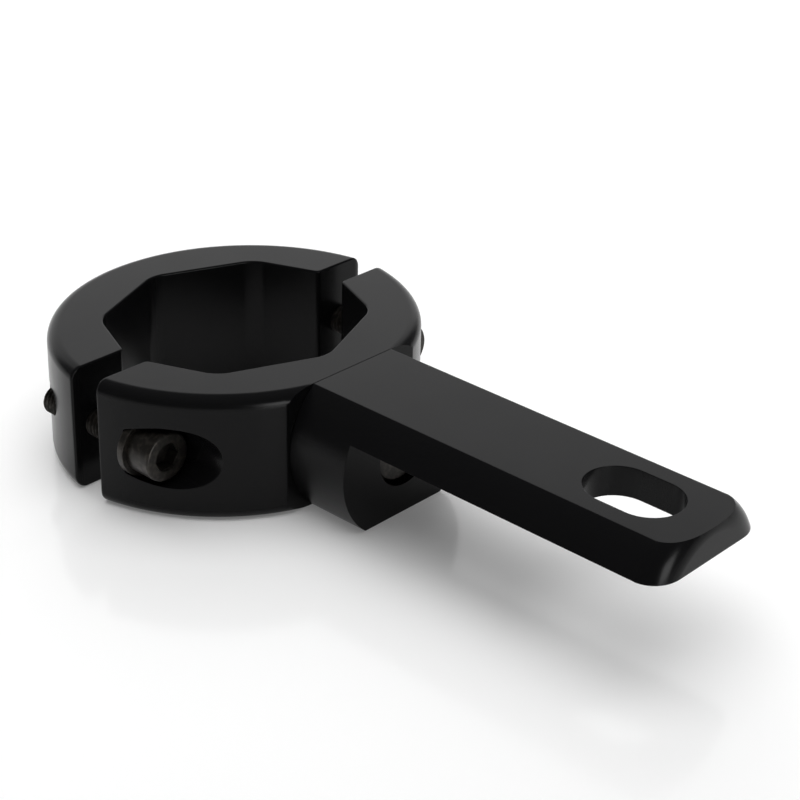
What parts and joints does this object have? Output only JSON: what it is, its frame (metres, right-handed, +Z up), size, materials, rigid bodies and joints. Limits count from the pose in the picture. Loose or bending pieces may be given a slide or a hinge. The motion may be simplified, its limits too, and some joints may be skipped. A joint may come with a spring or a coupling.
{
  "type": "horn mounting bracket",
  "caption": "Split clamp with an eight-sided tube opening, and a slotted arm screwed to a flat on one half, for hanging a horn from a tube.",
  "frame": {"origin": "centre of the tube opening, in the middle of the split, on the plane of the bracket's underside", "axes": "+X along the arm, away from the clamp; +Y along the split between the clamp halves; +Z up, along the tube that the clamp grips"},
  "size_m": [0.1522, 0.079, 0.0262],
  "materials": {
    "anodised": "satin black anodised",
    "screw_steel": "black oxide"
  },
  "bodies": {
    "root": {"rear_clamp_half": "anodised", "front_clamp_half": "anodised", "horn_arm": "anodised", "clamp_screw_left": "screw_steel", "clamp_screw_right": "screw_steel", "clamp_washer_left": "screw_steel", "clamp_washer_right": "screw_steel", "arm_screw": "screw_steel"}
  },
  "joints": []
}
